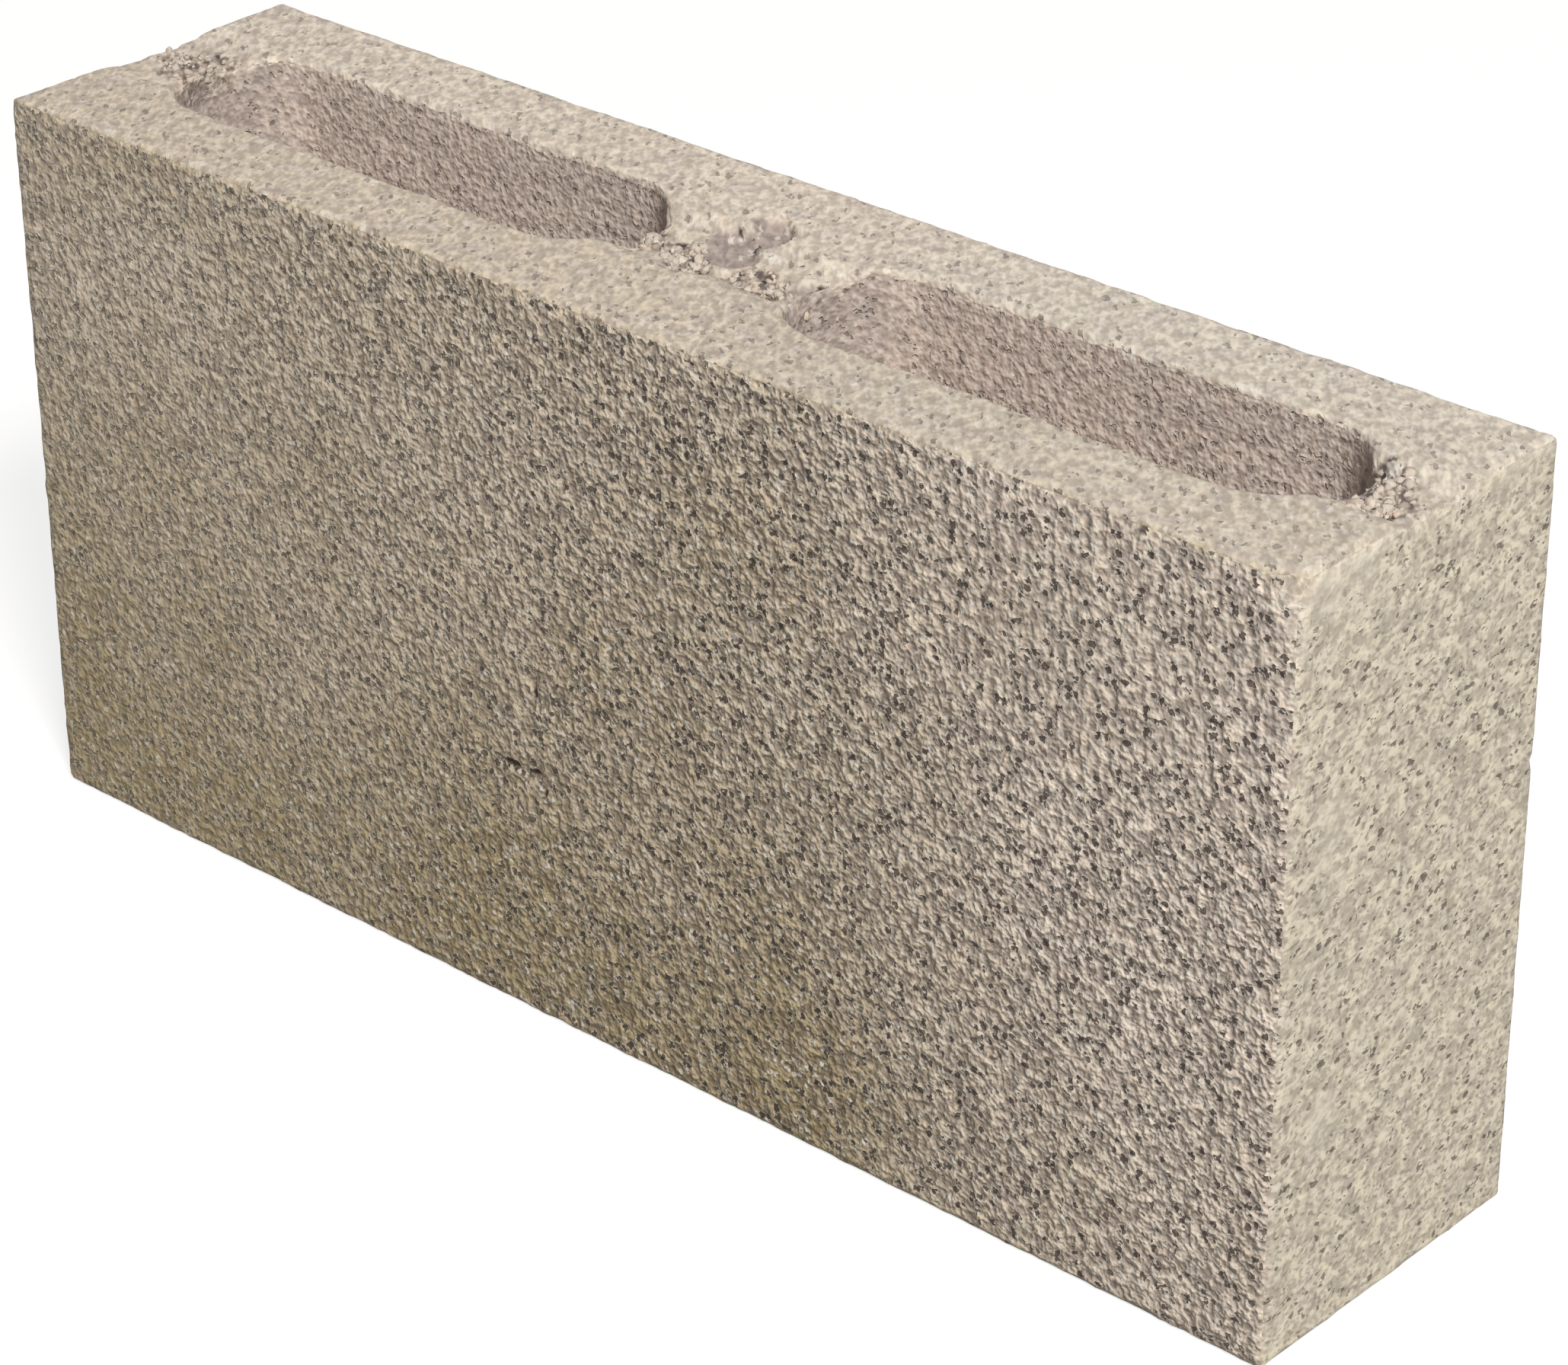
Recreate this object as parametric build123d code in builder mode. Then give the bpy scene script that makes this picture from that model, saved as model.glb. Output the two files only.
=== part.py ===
import math
import os

from build123d import *

# Hollow concrete block for half-thickness walls, cast in one piece.
# The origin is the middle of the bottom bed face: X along the wall, Y through it, Z up.
# It stands as it left the mould, with the wide ends of its cells on top.

# Outside of the block
length = 390
width = 90
height = 190
arris = 2.5  # wear along every outer edge

# Cells, measured at the top bed face
face_shell = 25  # wall between a cell and the long face beside it
end_web = 20
centre_web = 50
draft_angle = 0.6  # lets the cores slide out, so cells narrow towards the bottom
top_rim = 2.0  # rounding of the cell mouths
bottom_rim = 1.0

# Channel that the core bar leaves across the webs
channel_width = 28
channel_depth = 4
channel_slope = 50  # how far its sides lean, in degrees from upright
channel_round = 2.0  # radius along both sides of its floor

# Pocket that the bar's foot leaves in the centre web
pocket_length = 13
pocket_width = 33
pocket_depth = 5.5
pocket_corner = 4.5
pocket_lean = 20  # lean of its sides, in degrees
pocket_shift_x = -0.5  # its middle is a little off the block's
pocket_shift_y = 4

# Sizes that follow from the ones above
cell_length = (length - 2 * end_web - centre_web) / 2
cell_width = width - 2 * face_shell
cell_middle = (centre_web + cell_length) / 2
channel_floor = channel_width - 2 * channel_depth * math.tan(math.radians(channel_slope))

with BuildPart() as concrete_block:
    # Plain box with worn edges
    with BuildSketch() as footprint:
        Rectangle(length, width)
    extrude(amount=height)
    fillet(concrete_block.edges(), radius=arris)

    # Two drafted cells, right through the height
    with BuildSketch(Plane.XY.offset(height)) as cell_plan:
        with Locations((-cell_middle, 0), (cell_middle, 0)):
            SlotOverall(cell_length, cell_width)
    extrude(amount=-height, taper=draft_angle, mode=Mode.SUBTRACT)
    mouths = concrete_block.faces().filter_by(Axis.Z).sort_by(Axis.Z)
    bottom_edges = mouths[0].inner_wires().edges()
    top_edges = mouths[-1].inner_wires().edges()
    fillet(bottom_edges, radius=bottom_rim)
    fillet(top_edges, radius=top_rim)

    # Bar channel from end to end, which crosses the three webs
    with BuildSketch(Plane.YZ) as channel_section:
        with BuildLine() as channel_outline:
            Polyline(
                (-channel_width / 2, height),
                (-channel_floor / 2, height - channel_depth),
                (channel_floor / 2, height - channel_depth),
                (channel_width / 2, height),
                close=True,
            )
        make_face()
        floor_corners = channel_section.vertices().group_by(Axis.Y)[0]
        fillet(floor_corners, radius=channel_round)
    extrude(amount=length / 2, both=True, mode=Mode.SUBTRACT)

    # Deeper pocket in the middle of the centre web
    with BuildSketch(Plane.XY.offset(height)) as pocket_plan:
        with Locations((pocket_shift_x, pocket_shift_y)):
            RectangleRounded(pocket_length, pocket_width, pocket_corner)
    extrude(amount=-pocket_depth, taper=pocket_lean, mode=Mode.SUBTRACT)

concrete_block.part.label = "concrete_block"

os.makedirs("parts", exist_ok=True)
export_step(concrete_block.part, "parts/concrete_block.step")

print("cells", cell_length, "by", cell_width, "mm at the top")
print("concrete volume", round(concrete_block.part.volume / 1e6, 3), "litres")
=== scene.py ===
import math

import bpy
import numpy as np
from mathutils import Matrix, Vector


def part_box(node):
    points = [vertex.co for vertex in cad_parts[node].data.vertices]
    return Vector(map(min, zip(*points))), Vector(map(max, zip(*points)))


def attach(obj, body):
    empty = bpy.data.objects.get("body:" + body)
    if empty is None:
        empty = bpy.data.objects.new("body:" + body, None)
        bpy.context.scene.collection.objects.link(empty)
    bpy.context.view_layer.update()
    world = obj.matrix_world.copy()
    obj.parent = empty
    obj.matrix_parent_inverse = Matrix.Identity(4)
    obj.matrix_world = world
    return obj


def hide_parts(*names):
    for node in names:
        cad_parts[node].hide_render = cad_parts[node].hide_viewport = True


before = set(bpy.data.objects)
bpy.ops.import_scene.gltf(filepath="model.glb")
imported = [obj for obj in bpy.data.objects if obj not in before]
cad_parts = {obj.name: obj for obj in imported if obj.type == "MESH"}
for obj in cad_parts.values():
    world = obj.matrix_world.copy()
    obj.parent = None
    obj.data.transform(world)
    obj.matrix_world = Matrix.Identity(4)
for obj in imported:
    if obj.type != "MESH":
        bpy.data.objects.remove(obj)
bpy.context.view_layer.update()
low, high = (np.array(corner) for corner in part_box("concrete_block"))
print("frame loaded, block", np.round((high - low) * 1000, 1), "mm")


# Patterns in space, each worked out for a whole array of points at once

def cellFraction(cell, seed):
    # One repeatable fraction from 0 to 1 for each whole-number cell:
    # its three numbers are multiplied by large primes, added, and the bits mixed.
    whole = cell.astype(np.int64)
    bits = whole[:, 0] * 374761393 + whole[:, 1] * 668265263 + whole[:, 2] * 2246822519
    bits = (bits + seed * 3266489917) & 0xffffffff
    bits = ((bits ^ (bits >> 15)) * 2654435761) & 0xffffffff
    bits = ((bits ^ (bits >> 13)) * 3266489917) & 0xffffffff
    return ((bits ^ (bits >> 16)) & 0xffffff) / 0xffffff


def cloud(points, size, seed):
    # Fractions at the eight corners of each cell, blended by 6t^5 - 15t^4 + 10t^3,
    # and stretched to run from -1 to 1.
    place = points / size
    corner = np.floor(place)
    part = place - corner
    part = part ** 3 * (part * (part * 6 - 15) + 10)
    total = np.zeros(len(points))
    for step in np.ndindex(2, 2, 2):
        weight = np.prod(np.where(np.array(step), part, 1 - part), axis=1)
        total += weight * cellFraction(corner + step, seed)
    return total * 2 - 1


def clouds(points, size, seed, layers=3):
    # Layers of cloud, each half the size and half the height of the last.
    total = sum(cloud(points, size / 2 ** n, seed + n) / 2 ** n for n in range(layers))
    return total / (2 - 2 ** (1 - layers))


def stones(points, size, seed):
    # One random spot in each cell: how far each point is from the nearest and
    # the second nearest spot, in cells, and a fraction that the nearest one owns.
    place = points / size
    corner = np.floor(place)
    near = np.full(len(points), 9.0)
    second = near.copy()
    own = np.zeros(len(points))
    for step in np.ndindex(3, 3, 3):
        cell = corner + step - 1
        spot = np.stack([cellFraction(cell, seed + axis) for axis in range(3)], axis=1)
        gap = np.linalg.norm(cell + spot - place, axis=1)
        closer = gap < near
        second = np.where(closer, near, np.minimum(second, gap))
        own = np.where(closer, cellFraction(cell, seed + 3), own)
        near = np.where(closer, gap, near)
    return near, second, own


def ramp(value, start, end):
    # 0 before start, 1 after end, and 3t^2 - 2t^3 between them.
    part = np.clip((value - start) / (end - start), 0, 1)
    return part * part * (3 - 2 * part)


# Clouds used on the block: size of the largest cells in metres, seed and layers
cloudKinds = {
    "channelSides": (0.013, 21, 2),
    "channelLine": (0.03, 31, 3),
    "channelDepth": (0.014, 41, 2),
    "lobeEdge": (0.006, 51, 2),
    "mouth": (0.009, 61, 1),
    "brokenMouth": (0.007, 65, 2),
    "faceWave": (0.045, 95, 2),
    "openness": (0.04, 97, 2),
    "brokenWeb": (0.0060, 101, 2),
    "slowWear": (0.018, 111, 2),
    "quickWear": (0.0050, 115, 2),
    "heapReach": (0.008, 161, 3),
    "wallTop": (0.005, 165, 2),
    "heapEdge": (0.005, 167, 2),
    "smoothEdge": (0.005, 169, 2),
    "dragStart": (0.03, 171, 3),
    "dragFoot": (0.02, 175, 3),
    "dampAndEndShade": (0.05, 181, 3),
    "footDirt": (0.035, 185, 2),
    "paste": (0.028, 191, 3),
    "dragLines": (0.0034, 201, 2),
}
seeds = {"stones": 71, "pits": 141, "pitReach": 5, "marks": 151, "jitter": 211}


def pattern(name, points):
    return clouds(points, *cloudKinds[name])


# The block's skin: lengths in metres, pairs are where a change starts and ends

block = {
    "cellMiddle": 0.100,       # from the block's middle to each cell's
    "cellStraight": 0.055,     # half of a cell's straight wall
    "cellRadius": 0.020,       # of its round ends, at the top
    "cellDraft": 0.002,        # how far its walls close in at the bottom
    "cellRim": 0.0016,         # rounding of its mouth
    "rimUneven": 0.45,         # share of that by which it changes
    "rimWear": 0.0034,         # how much more the mouth is broken at the webs,
    "rimBroken": (0.8, 0.7),   # the middle share of that and how far it swings
    "atWeb": (0.0005, 0.0022),  # by how far the bed is down
    "arris": 0.0020,           # rounding of the outer edges
    "arrisLeast": 0.0007,
    "arrisWear": 0.0009,       # how much that changes along an edge
    "slowWear": 0.35,          # share of the slow changes in it
    "topWear": (0.165, 0.182),  # heights from which the edges are worn twice as much
    "backWear": (0.0, 0.04),   # places from front to back where that halves
    "knockedCorner": 0.0048,   # extra rounding of the near top corner
    "knockedReach": 0.011,

    "channelHalf": 0.0140,     # half the core-bar channel's width at the top
    "channelFloor": 0.0080,    # half its floor
    "channelLeft": 0.0014,     # its depth in the left end web,
    "channelCentre": 0.0021,   # in the centre web
    "channelRight": 0.0019,    # and in the right end web
    "depthChange": (0.03, 0.17),
    "unevenDepth": 0.25,
    "channelShift": 0.0010,    # of its middle to the back, and once more at the left end
    "leftShift": (0.16, 0.19),
    "channelSwing": 0.002,     # of its line from side to side
    "channelRagged": 0.0022,   # of its sides
    "leftWider": 0.45,         # how much wider it is at the left end
    "leftWiden": (0.15, 0.19),
    "endFall": 0.0001,         # extra where it runs out at the ends
    "endRun": (0.186, 0.195),

    "lobePower": 2.4,          # 2 is an oval, more is squarer
    "lobeRagged": 0.12,
    "lobeBank": 0.42,          # share of a lobe that its soft bank takes up,
    "ledgeCrisp": 0.34,        # and how much less that is at the ledge
    "ledgeBank": (-0.3, 0.5),
    "ledgeOver": 0.25,         # share of the bank that lies outside the outline
    "lobeShallow": 0.72,       # depth away from the ledge, as a share
    "ledgeDeep": 0.28,         # and what the ledge adds
    "ledgeFall": (-0.6, 0.8),

    "endColumns": 26,          # grid steps over an end web
    "cellColumns": 60,         # along a cell's straight wall
    "middleColumns": 72,       # over the centre web
    "shellRows": 15,           # across a face shell
    "shellCrowd": 0.4,         # how much closer they are at its edges
    "webRows": 36,             # round a cell's end
    "wallRows": 86,            # up an outer face, besides the close ones at its edges
    "wallStart": 0.0057,
    "edgeSteps": (0.0008, 0.0017, 0.0027, 0.0040),  # close grid steps at a wall's edges
    "cellRows": (0.006, 0.036, 15),  # down a cell's wall from, to and how many,
    "deepRows": (0.044, 0.012, 10),  # then from, to above the bottom and how many,
    "footSteps": (0.006, 0.003, 0.0012),  # and close ones at the bottom
    "jitter": 0.00032,         # longest step of a point off the grid's line
    "jitterShare": 0.22,       # and its share of the narrowest face there

    "bedStart": (0.002, 0.005),  # from a bed's edge inward, where it counts as bed
    "wallTop": (0.0006, 0.0030),  # below the rim, where the cell wall's colour starts
    "wallTopRagged": 0.0012,
    "heapReach": 0.0050,       # how far below the rim the broken surface goes
    "heapReachRagged": 0.003,
    "heapFade": 0.003,
    "bedOnly": 0.15,           # height above which webs and rims are broken
    "heapRagged": 0.25,
    "heapShare": (0.30, 0.75),
    "heapOnWall": 0.5,
    "smoothRagged": 0.10,
    "smoothEdge": (0.90, 1.06),
    "creviceAt": 0.97,         # place of the painted shadow line at a lobe's ledge, 1 is its outline
    "creviceHalf": 0.075,
    "creviceSide": (-0.1, 0.5),
    "backShift": 0.02,         # how far the back's pattern along the block is moved
    "dragAlong": (0.085, 0.125),
    "dragAlongRagged": 0.01,
    "dragUp": (0.105, 0.150),
    "dragUpRagged": 0.02,

    "leftTone": 0.53,          # damp on a long face's left,
    "leftFade": (0.01, 0.195),
    "lowTone": 0.40,           # more towards the ground,
    "lowPower": 1.4,
    "footTone": 0.25,          # and in patches along the foot
    "footTall": 0.050,
    "footPatches": 1.5,
    "dryRight": 0.75,          # how much less of the last two there is on the right
    "dryFade": (0.02, 0.15),
    "bedTone": 0.5,            # of a bed's middle line
    "bedAcross": 0.05,         # length across it over which that falls by 1
    "bedRight": 0.3,           # more on the right half
    "bedFade": (0.0, 0.15),
    "roundEnd": (0.15, 0.95),  # turn of a cell's wall from its straight part to its end, over which its painted shade grows
    "dampClouds": 0.16,
    "pasteTop": 0.80,          # more smooth paste near the top of an end
    "pasteUp": (0.150, 0.178),
    "pasteMiddle": 0.35,       # and less along its middle
    "pasteHalf": 0.016,
    "pasteEdge": (0.40, 0.85),

    "stoneSize": 0.0044,       # spacing of the stones that the mesh itself carries
    "stoneRound": (0.2, 0.85),
    "stoneGap": (0.02, 0.5),
    "stoneShares": (0.55, 0.35, 0.3),  # of roundness, gap and the stone's own height
    "pitSize": 0.0066,         # spacing of the places where one may be torn out
    "pitShare": 0.50,
    "pitReach": (0.20, 0.16),  # smallest, and how much larger the largest is
    "faceDepth": 0.00036,      # relief between stones on the long faces
    "facePits": 0.00062,
    "faceWave": 0.00012,
    "openLeast": 0.75,         # how open the long faces' grain is at the left,
    "openRight": 0.4,          # how much more at the right,
    "openFade": (-0.15, 0.12),
    "openClouds": 0.25,        # and in patches
    "endDepth": 0.00008,
    "endPits": 0.00045,
    "bedDepth": 0.00016,
    "cellDepth": 0.00042,
    "cellPits": 0.6,           # share of the long faces' pits
    "cellRimDepth": 0.12,      # share of the cell's relief at its rim,
    "cellFullDepth": (0.0040, 0.0160),  # which grows to all of it down here
    "crumbDepth": 0.0011,      # broken surface of the webs
    "crumbLevel": (0.45, 0.8),  # its middle level and how far it swings
    "dragDepth": 0.00030,      # upright scores from the mould near the top
    "dragPull": 0.12,          # how much longer than wide they are, as a share
    "dragOver": 0.5,           # share of the stones' relief that they take away
    "frontOnly": -0.03,        # the proud stone's gap is in front of this
    # share of the lobes' painted ledge shadow line that is painted dark like an opening
    "creviceOpen": 0.8,
    "hollowStone": 0.35,       # share of the painted shade in gaps beside that in pits
}
# The two lobes of the pocket that the core bar's foot leaves in the centre web:
# middle, half length along the slant, half width across it, and depth.
lobes = [
    {"x": -0.0036, "y": 0.0066, "halfLong": 0.0100, "halfWide": 0.0060, "depth": 0.0044},
    {"x": -0.0012, "y": 0.0178, "halfLong": 0.0078, "halfWide": 0.0046, "depth": 0.0040},
]
# Heaps of broken concrete on the webs: x, y, reach, and how dense.
heaps = [
    (-0.0105, -0.0010, 0.0070, 1.0), (-0.0035, -0.0090, 0.0055, 1.0),
    (-0.0225, -0.0010, 0.0055, 0.8), (0.0115, -0.0020, 0.0065, 1.0),
    (0.0180, -0.0055, 0.0050, 0.8), (0.0270, 0.0010, 0.0065, 0.7),
    (0.1775, 0.0070, 0.0070, 1.0), (0.1850, 0.0000, 0.0070, 0.9),
    (0.1830, -0.0065, 0.0050, 0.9), (-0.1835, 0.0030, 0.0085, 0.9),
    (-0.1760, -0.0040, 0.0060, 0.7), (-0.1740, 0.0090, 0.0060, 0.5),
]
topBed, bottomBed, outerWall, cellWall = range(4)  # kinds of place on the grid
columnNames = ["endColumns", "cellColumns", "middleColumns"]


def planGrid(radius):
    # Plan of a bed face as one grid of points (column, row). Beside the cells the grid
    # is straight. Across a web, each row is a line from the web's outer end, or the next
    # cell, to the point of the round end at angle a: x = straight + r cos a, y = r sin a.
    endColumns, cellColumns, middleColumns = (block[n] for n in columnNames)
    shellRows, webRows = block["shellRows"], block["webRows"]
    halfLong, halfWide = high[0], high[1]
    innerEnd = block["cellMiddle"] - block["cellStraight"]
    outerEnd = block["cellMiddle"] + block["cellStraight"]
    stops = [-halfLong, -outerEnd, -innerEnd, innerEnd, outerEnd, halfLong]
    counts = [endColumns, cellColumns, middleColumns, cellColumns, endColumns]
    spans = [np.linspace(a, b, n + 1)[:-1] for a, b, n in zip(stops, stops[1:], counts)]
    alongX = np.concatenate(spans + [[halfLong]])
    even = np.linspace(0, 1, shellRows + 1)
    even = even - block["shellCrowd"] * np.sin(2 * math.pi * even) / (2 * math.pi)
    shell = halfWide + (radius - halfWide) * even
    angle = np.linspace(-math.pi / 2, math.pi / 2, webRows + 1)
    alongY = np.concatenate([-shell[:-1], radius * np.sin(angle), shell[::-1][1:]])
    x, y = np.meshgrid(alongX, alongY, indexing="ij")
    web = slice(shellRows, shellRows + webRows + 1)
    even = np.linspace(-radius, radius, webRows + 1)
    bulge = radius * np.cos(angle)
    for side in (-1, 1):  # end webs: straight at the outer end, round at the cell
        share = np.linspace(0, 1, endColumns + 1)[:, None]
        span = slice(0, endColumns + 1) if side < 0 else slice(-1, -endColumns - 2, -1)
        x[span, web] = side * (halfLong * (1 - share) + (outerEnd + bulge) * share)
        y[span, web] = even * (1 - share) + radius * np.sin(angle) * share
    share = np.linspace(0, 1, middleColumns + 1)[:, None]
    first = endColumns + cellColumns
    span = slice(first, first + middleColumns + 1)
    x[span, web] = (innerEnd - bulge) * (2 * share - 1)
    towardEven = 4 * share * (1 - share)
    y[span, web] = even * towardEven + radius * np.sin(angle) * (1 - towardEven)
    return x, y


def lobeReach(x, y, lobe):
    # 1 on the lobe's outline and less inside it: an oval with its length along (-1, 1).
    along = (y - lobe["y"] - (x - lobe["x"])) / math.sqrt(2) / lobe["halfLong"]
    across = (y - lobe["y"] + (x - lobe["x"])) / math.sqrt(2) / lobe["halfWide"]
    power = block["lobePower"]
    reach = (np.abs(along) ** power + np.abs(across) ** power) ** (1 / power)
    return reach, np.maximum(across, -along)  # and how far towards its ledge


def bedDrop(x, y):
    # How far the top bed lies below the block's height: a shallow channel with soft sides
    # along the middle, and in the centre web two lobes that deepen to a crisp ledge.
    flat = np.stack([x, y, np.zeros_like(x)], axis=1)
    alongOnly = np.stack([x, x * 0, x * 0], axis=1)
    wander = pattern("channelSides", flat) * block["channelRagged"]
    middle = y - block["channelShift"] - pattern("channelLine", alongOnly) * block["channelSwing"]
    middle -= block["channelShift"] * ramp(-x, *block["leftShift"])
    wider = 1 + block["leftWider"] * ramp(-x, *block["leftWiden"])
    apart = np.abs(middle) / wider + wander
    sides = 1 - ramp(apart, block["channelFloor"], block["channelHalf"])
    left, centre, right = (block["channel" + name] for name in ("Left", "Centre", "Right"))
    depth = centre + (left - centre) * ramp(-x, *block["depthChange"])
    depth += (right - centre) * ramp(x, *block["depthChange"])
    drop = sides * depth * (1 + block["unevenDepth"] * pattern("channelDepth", flat))
    drop += sides * block["endFall"] * ramp(np.abs(x), *block["endRun"])
    edge = pattern("lobeEdge", flat) * block["lobeRagged"]
    for lobe in lobes:
        reach, ledge = lobeReach(x, y, lobe)
        bank = block["lobeBank"] - block["ledgeCrisp"] * ramp(ledge, *block["ledgeBank"])
        within = 1 - ramp(reach + edge, 1 - bank, 1 + bank * block["ledgeOver"])
        towardLedge = block["ledgeDeep"] * ramp(ledge, *block["ledgeFall"])
        deep = lobe["depth"] * (block["lobeShallow"] + towardLedge)
        drop = drop + within * np.maximum(deep - drop, 0)
    return drop


def roundOff(points, drop, radius):
    # Each point is taken to its nearest point in a box smaller by the radius on every
    # side, and put back at that radius from it, so flat faces stay and edges turn round.
    inset = radius[:, None]
    top = np.stack([high[0] + drop * 0, high[1] + drop * 0, high[2] - drop], axis=1)
    inner = np.clip(points, low + inset, top - inset)
    away = points - inner
    length = np.linalg.norm(away, axis=1)
    push = np.where(length > 1e-9, radius / np.maximum(length, 1e-9), 0)
    return np.where((length > 1e-9)[:, None], inner + away * push[:, None], points)


def loopOf(left, right, front, back):
    # Grid places round a rectangle of the grid, seen from above against the clock.
    alongFront = [(i, front) for i in range(left, right)]
    alongRight = [(right, j) for j in range(front, back)]
    alongBack = [(i, back) for i in range(right, left, -1)]
    alongLeft = [(left, j) for j in range(back, front, -1)]
    return np.array(alongFront + alongRight + alongBack + alongLeft)


def skinGrid():
    # Numbers of the grid's points and its four-sided faces: two bed grids with a hole for
    # each cell, one wall round the outside and one down each cell, which share their edges.
    endColumns, cellColumns, middleColumns = (block[n] for n in columnNames)
    shellRows, webRows = block["shellRows"], block["webRows"]
    acrossX = 2 * endColumns + 2 * cellColumns + middleColumns
    acrossY = 2 * shellRows + webRows
    starts = [endColumns, endColumns + cellColumns + middleColumns]
    keep = np.ones((acrossX + 1, acrossY + 1), bool)
    face = np.ones((acrossX, acrossY), bool)
    for start in starts:
        keep[start + 1:start + cellColumns, shellRows + 1:shellRows + webRows] = False
        face[start:start + cellColumns, shellRows:shellRows + webRows] = False
    x, y = planGrid(block["cellRadius"])
    xFoot, yFoot = planGrid(block["cellRadius"] - block["cellDraft"])
    count = keep.sum()
    topNumber = np.full(keep.shape, -1)
    topNumber[keep] = np.arange(count)
    footNumber = np.where(keep, topNumber + count, -1)
    topDrop = bedDrop(x[keep], y[keep])
    points = [np.stack([x[keep], y[keep], high[2] - topDrop], axis=1),
              np.stack([xFoot[keep], yFoot[keep], np.full(count, low[2])], axis=1)]
    drops = [topDrop, topDrop * 0]
    kinds = [np.full(count, topBed), np.full(count, bottomBed)]
    column, row = np.nonzero(face)
    quads = []
    for number, flip in ((topNumber, False), (footNumber, True)):
        quad = np.stack([number[column, row], number[column + 1, row],
                         number[column + 1, row + 1], number[column, row + 1]], axis=1)
        quads.append(quad[:, ::-1] if flip else quad)

    def addWall(loop, levels, kind, outward):
        # Levels run from 0 at the foot to 1 at the top, between a point of each bed's edge.
        i, j = loop.T
        top = points[0][topNumber[i, j]]
        foot = points[1][footNumber[i, j] - count]
        made = foot + (top - foot) * levels[1:-1, None, None]
        first = sum(len(p) for p in points)
        size = made.shape[0] * made.shape[1]
        points.append(made.reshape(-1, 3))
        drops.append(np.tile(topDrop[topNumber[i, j]], len(made)))
        kinds.append(np.full(size, kind))
        middle = first + np.arange(size).reshape(made.shape[:2])
        number = np.vstack([footNumber[i, j], middle, topNumber[i, j]])
        ahead = np.roll(number, -1, axis=1)
        quad = np.stack([number[:-1], ahead[:-1], ahead[1:], number[1:]], axis=-1).reshape(-1, 4)
        quads.append(quad if outward else quad[:, ::-1])

    tall = high[2] - low[2]
    edgeSteps, wallStart = np.array(block["edgeSteps"]), block["wallStart"]
    rows = np.linspace(wallStart, tall - wallStart, block["wallRows"])
    levels = np.concatenate([[0], edgeSteps, rows, tall - edgeSteps[::-1], [tall]])
    addWall(loopOf(0, acrossX, 0, acrossY), levels / tall, outerWall, True)
    deepStart, deepEnd, deepCount = block["deepRows"]
    deeper = np.linspace(deepStart, tall - deepEnd, deepCount)
    last = tall - np.array([*block["footSteps"], 0])
    depths = np.concatenate([[0], edgeSteps, np.linspace(*block["cellRows"]), deeper, last])
    for start in starts:
        loop = loopOf(start, start + cellColumns, shellRows, shellRows + webRows)
        addWall(loop, 1 - depths[::-1] / tall, cellWall, False)
    return np.vstack(points), np.vstack(quads), np.concatenate(drops), np.concatenate(kinds)


def cornerNormals(points, quads):
    # The cross product of each face's diagonals, summed at its corners.
    a, b, c, d = points[quads].transpose(1, 0, 2)
    across = np.cross(c - a, d - b)
    normals = np.zeros_like(points)
    for corner in range(4):
        np.add.at(normals, quads[:, corner], across)
    return normals / np.maximum(np.linalg.norm(normals, axis=1), 1e-12)[:, None]


def cellGap(points):
    # How far a point lies outside the nearer cell's plan, and the way straight out of it.
    side = np.where(points[:, 0] < 0, -1, 1)
    fromMiddle = points[:, 0] - side * block["cellMiddle"]
    beyond = np.sign(fromMiddle) * np.maximum(np.abs(fromMiddle) - block["cellStraight"], 0)
    length = np.hypot(beyond, points[:, 1])
    radius = block["cellRadius"] - block["cellDraft"] * (1 - points[:, 2] / high[2])
    way = np.stack([beyond, points[:, 1], beyond * 0], axis=1) / np.maximum(length, 1e-9)[:, None]
    return length - radius, way


def softenMouths(points, drop):
    # The same rule as roundOff in the two lengths that count at a mouth's edge:
    # the gap out from the cell over the bed, and the depth down its wall from the bed.
    radius = block["cellRim"] * (1 + block["rimUneven"] * pattern("mouth", points))
    middle, swing = block["rimBroken"]
    broken = middle + swing * pattern("brokenMouth", points)
    radius += block["rimWear"] * ramp(drop, *block["atWeb"]) * broken
    gap, way = cellGap(points)
    gap = np.maximum(gap, 0)
    below, above = high[2] - drop - points[:, 2], points[:, 2] - low[2]
    depth = np.minimum(below, above)
    down = np.where(below < above, -1, 1)
    innerGap, innerDepth = np.maximum(gap, radius), np.maximum(depth, radius)
    awayGap, awayDepth = gap - innerGap, depth - innerDepth
    length = np.maximum(np.hypot(awayGap, awayDepth), 1e-9)
    near = (gap < radius) & (depth < radius)
    newGap = np.where(near, innerGap + awayGap / length * radius, gap)
    newDepth = np.where(near, innerDepth + awayDepth / length * radius, depth)
    moved = points + way * (newGap - gap)[:, None]
    moved[:, 2] += down * (newDepth - depth)
    return moved
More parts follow.
